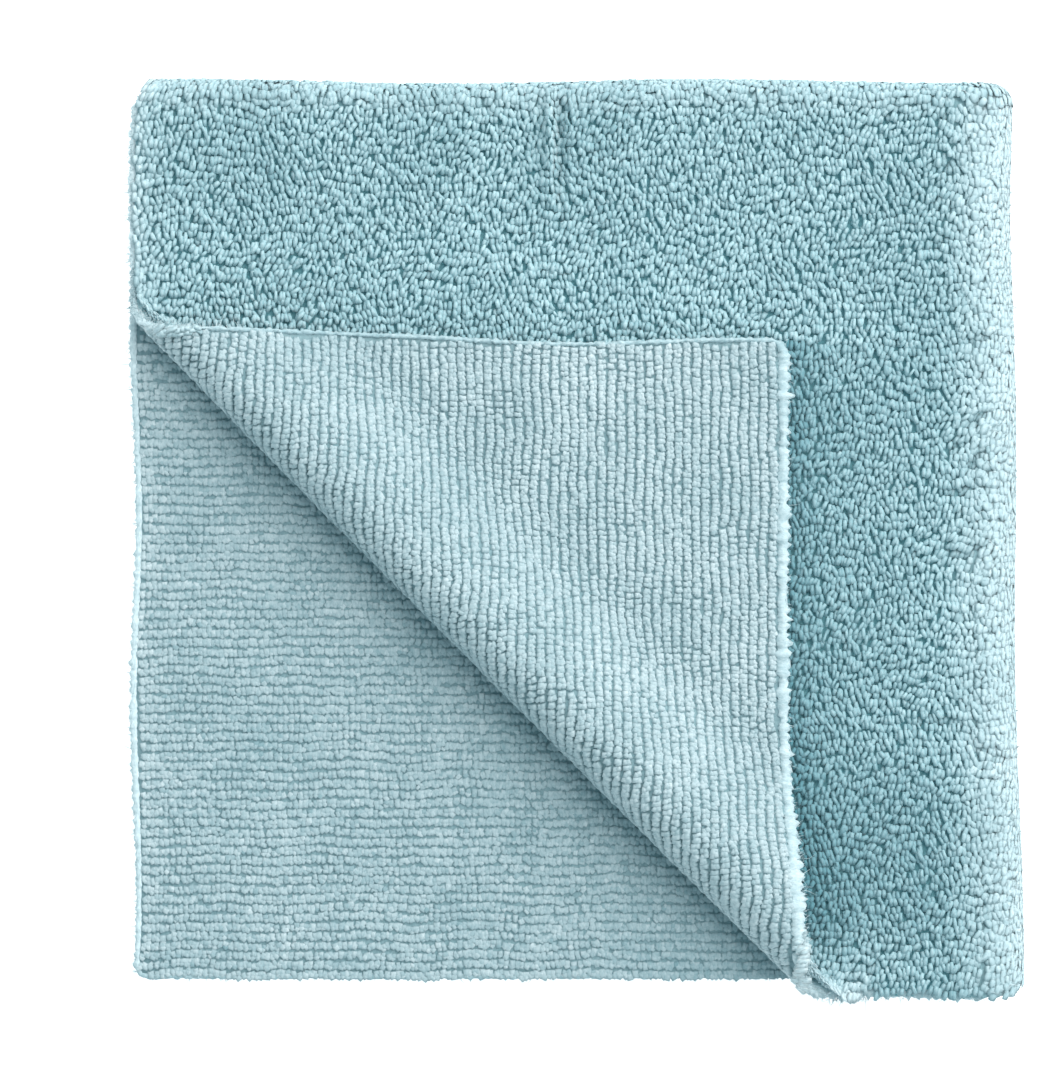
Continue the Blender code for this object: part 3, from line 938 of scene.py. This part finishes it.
class CLOTH_OT_hems(bpy.types.Operator):
    """Overedge the four hems with close wraps of yarn"""

    bl_idname = "cloth.hems"
    bl_label = "Overedge the hems"

    def execute(self, context):
        rng = np.random.default_rng(context.scene.knit_sizes.seed + 2)
        side_inset, front_inset, back_inset = 0.0002, 0.0011, 0.0002
        radius = CORNER - 0.0007
        wrap, scallop_length = 0.0009, 0.00165
        side_breadth, flap_breadth, front_breadth, back_breadth = 0.00085, 0.00045, 0.00115, 0.00055
        thick, back_thick, level = 0.00080, 0.00050, -0.00062
        sides = 8

        left, right = side_inset + radius, U_SIZE - side_inset - radius
        front, back = front_inset + radius, V_SIZE - back_inset - radius
        runs = []
        for k, (centre_u, centre_v) in enumerate(((left, front), (right, front), (right, back), (left, back))):
            for turn in (2 + k) * math.pi / 2 + np.arange(9) * math.pi / 16:
                runs.append((centre_u + radius * math.cos(turn), centre_v + radius * math.sin(turn)))
        outline = np.array(runs + runs[:1])
        along = np.concatenate([[0.0], np.cumsum(np.linalg.norm(np.diff(outline, axis=0), axis=1))])
        number = 2 * int(along[-1] / wrap)
        at = np.arange(number) * along[-1] / number
        u, v = np.interp(at, along, outline[:, 0]), np.interp(at, along, outline[:, 1])
        ahead_u, ahead_v = np.roll(u, -1) - np.roll(u, 1), np.roll(v, -1) - np.roll(v, 1)
        size = np.hypot(ahead_u, ahead_v)
        out_u, out_v = ahead_v / size, -ahead_u / size

        turned = (u < TURN_LEG) & (v < TURN_LEG)
        on_left, on_front, on_back = u < CORNER / 2, v < CORNER / 2, v > V_SIZE - CORNER / 2
        breadth = np.full(number, side_breadth)
        breadth[on_left & turned] = flap_breadth
        breadth[on_front] = front_breadth
        breadth[on_back] = back_breadth
        lumpy = 1.0 + 0.25 * drift(u, v, 0.0024, 54) + 0.30 * smooth((u - 0.080) / 0.020)
        breadth *= np.where(turned & on_front, lumpy, 1.0) * (1.0 - 0.6 * roll_end(u, v))
        breadth = np.convolve(np.concatenate([breadth[-4:], breadth, breadth[:4]]), np.ones(9) / 9, "valid")
        crest = np.arange(number) % 2 == 0  # every other ring is the crest of a wrap
        swell = 1.0 + 0.12 * drift(u, v, 0.0015, 51) + rng.normal(0.0, 0.06, number)
        swell = swell * np.where(crest, 1.0, 0.92)
        scallop = 1.0 + 0.20 * np.sin(math.tau * at / scallop_length + 1.5 * drift(u, v, 0.006, 52))
        inner = np.where((np.minimum(u, U_SIZE - u) < CORNER / 2) & ~turned, 0.55, 1.0)
        lump = rng.normal(1.0, 0.12 + 0.10 * turned, (sides, number)).T
        ring = np.arange(sides) * math.tau / sides
        reach = np.cos(ring) * (breadth * swell)[:, None]
        reach = reach * np.where(reach > 0.0, scallop[:, None], inner[:, None]) * lump
        lift = level + np.sin(ring) * (np.where(on_back, back_thick, thick) * swell)[:, None] * lump
        flat_u = u[:, None] + out_u[:, None] * reach
        flat_v = v[:, None] + out_v[:, None] * reach
        flat = np.stack([flat_u, flat_v, lift], axis=-1)

        this, k = np.arange(number)[:, None] * sides, np.arange(sides)
        next_ring, beside = np.roll(this, -1), (k + 1) % sides
        faces = np.stack([this + k, next_ring + k, next_ring + beside, this + beside], axis=-1)
        tone = rng.normal(1.0, 0.06, number) + 0.06 * drift(u, v, 0.0020, 53)
        # Painted light and shade along the hems, with more painted light on the left hems of the lower layers
        tone *= painted_hem_light_and_shade(u, v) * np.where(on_left & (v < V_BEND) & ~turned, 1.20, 1.0)
        # Painted shade between the wraps' crests
        depth = np.where(crest, 1.0, 0.75)
        hem_yarn = yarn("hem_yarn", context.scene.cloth_colors)
        make_piece("hem_overedge", flat, [faces.reshape(-1, 4)], hem_yarn, tone, depth, 0.0)
        return {"FINISHED"}


class CLOTH_OT_fibres(bpy.types.Operator):
    """Let loose fibres stand out of the hems and the folds"""

    bl_idname = "cloth.fibres"
    bl_label = "Add loose fibres"

    def execute(self, context):
        rng = np.random.default_rng(context.scene.knit_sizes.seed + 3)
        through, crest = (-0.0012, 0.0008), (PILE_TOP * 0.7, PILE_TOP)  # their levels, as w
        back, right = V_BEND + V_ARC / 2, U_BEND + U_ARC / 2
        to_left, to_right, up = (-1.0, 0.0, 0.0), (1.0, 0.0, 0.0), (0.0, 0.0, 1.0)
        to_front, to_back = (0.0, -1.0, 0.0), (0.0, 1.0, 0.0)
        starts, outward = [], []
        for number, u_range, v_range, w_range, out in (
            (1500, (-0.0004, 0.0004), (TURN_LEG, V_SIZE), through, to_left),
            (500, (U_SIZE - 0.0008, U_SIZE), (0.0, V_SIZE), through, to_right),
            (600, (0.0, U_SIZE), (0.0, 0.0010), through, to_front),
            (350, (-0.0004, 0.0008), (TURN_LEG - 0.030, TURN_LEG), through, to_left),
            (450, (TURN_LEG - 0.045, TURN_LEG), (-0.0004, 0.0008), through, to_front),
            (500, (0.0, U_SIZE), (V_SIZE - 0.0008, V_SIZE), through, to_back),
            (600, (0.0, U_BEND), (back - 0.0028, back + 0.0010), crest, up),
            (900, (right - 0.0060, right + 0.0020), (0.0, V_BEND), crest, up),
        ):
            starts.append(np.stack([rng.uniform(*r, number) for r in (u_range, v_range, w_range)], axis=1))
            outward.append(np.tile(out, (number, 1)))

        root = np.concatenate(starts)
        number = len(root)
        way = np.concatenate(outward) + rng.normal(0.0, 0.45, (number, 3))
        way /= np.linalg.norm(way, axis=1, keepdims=True)
        bend = rng.normal(0.0, 0.35, (number, 3))
        length = rng.gamma(4.0, 0.00021, number)[:, None]
        sides = 3
        ring = np.arange(sides) * math.tau / sides
        aside = np.cross(way, [0.3, 0.5, 0.8])
        aside /= np.linalg.norm(aside, axis=1, keepdims=True)
        other = np.cross(way, aside)
        swing = aside[:, None] * np.cos(ring)[:, None] + other[:, None] * np.sin(ring)[:, None]
        rims = []
        for share, thick in ((0.0, 0.000065), (0.5, 0.000055)):
            middle = root + (way + bend * share) * length * share
            rims.append(middle[:, None] + swing * thick)
        tip = (root + (way + bend) * length)[:, None]
        flat = np.concatenate(rims + [tip], axis=1)
        tone = rng.normal(1.0, 0.12, number)
        hem_yarn = yarn("hem_yarn", context.scene.cloth_colors)
        make_piece("hem_fibres", flat, tubes(number, sides, len(rims), False, True), hem_yarn, tone, 1.0, 1.0)
        return {"FINISHED"}


class CLOTH_OT_stage(bpy.types.Operator):
    """Set the pale floor, the soft light and the camera straight above"""

    bl_idname = "cloth.stage"
    bl_label = "Set the stage"

    def execute(self, context):
        scene = context.scene
        stage = scene.cloth_stage
        half, below = 1.5, 0.0003
        mesh = bpy.data.meshes.new("floor")
        corners = ((-half, -half), (half, -half), (half, half), (-half, half))
        mesh.from_pydata([(x, y, -below) for x, y in corners], [], [(0, 1, 2, 3)])
        mesh.materials.append(floor_material(stage.floor, stage.glow))
        floor = bpy.data.objects.new("floor", mesh)
        scene.collection.objects.link(floor)

        world = bpy.data.worlds.new("soft_tent")
        world.use_nodes = True
        fill(world.node_tree.nodes["Background"], {"Color": (0.67, 0.93, 1.0, 1.0), "Strength": stage.sky})
        scene.world = world

        key = bpy.data.lights.new("back_right_softbox", "AREA")
        key.size = 1.9
        key.energy = stage.key
        key.color = (1.0, 0.985, 0.96)
        lamp = bpy.data.objects.new("back_right_softbox", key)
        toward = Vector((0.50, 0.55, 0.75)).normalized()
        lamp.location = toward * 1.3
        lamp.rotation_euler = toward.to_track_quat("Z", "Y").to_euler()
        scene.collection.objects.link(lamp)

        photo_height = 1080.0
        pixels_per_metre = 5530.0
        middle = (-0.0082, 0.0001, 0.012)
        view = bpy.data.cameras.new("camera")
        view.sensor_width = 36.0
        view.lens = view.sensor_width * stage.camera_height * pixels_per_metre / photo_height
        view.clip_end = 10.0
        camera = bpy.data.objects.new("camera", view)
        camera.location = Vector(middle) + Vector((0.0, 0.0, stage.camera_height))
        scene.collection.objects.link(camera)
        scene.camera = camera
        scene.view_settings.view_transform = "Standard"
        return {"FINISHED"}


class CLOTH_PT_panel(bpy.types.Panel):
    """Lists the steps that dress the cloth"""

    bl_idname = "CLOTH_PT_panel"
    bl_label = "Folded Cloth"
    bl_space_type = "VIEW_3D"
    bl_region_type = "UI"
    bl_category = "Cloth"

    def draw(self, context):
        scene = context.scene
        for group in (scene.knit_sizes, scene.cloth_colors, scene.cloth_stage):
            box = self.layout.box()
            for name in group.__annotations__:
                box.prop(group, name)
        for step in STEPS:
            self.layout.operator(step.bl_idname)


STEPS = (CLOTH_OT_ground, CLOTH_OT_pile, CLOTH_OT_ribs, CLOTH_OT_hems, CLOTH_OT_fibres, CLOTH_OT_stage)
CLASSES = (KnitSizes, ClothColors, StageSettings) + STEPS + (CLOTH_PT_panel,)


def register():
    for item in CLASSES:
        bpy.utils.register_class(item)
    bpy.types.Scene.knit_sizes = bpy.props.PointerProperty(type=KnitSizes)
    bpy.types.Scene.cloth_colors = bpy.props.PointerProperty(type=ClothColors)
    bpy.types.Scene.cloth_stage = bpy.props.PointerProperty(type=StageSettings)


def unregister():
    del bpy.types.Scene.cloth_stage
    del bpy.types.Scene.cloth_colors
    del bpy.types.Scene.knit_sizes
    for item in reversed(CLASSES):
        bpy.utils.unregister_class(item)


def main():
    register()
    bpy.ops.cloth.ground()
    bpy.ops.cloth.pile()
    bpy.ops.cloth.ribs()
    bpy.ops.cloth.hems()
    bpy.ops.cloth.fibres()
    bpy.ops.cloth.stage()


if __name__ == "__main__":
    main()
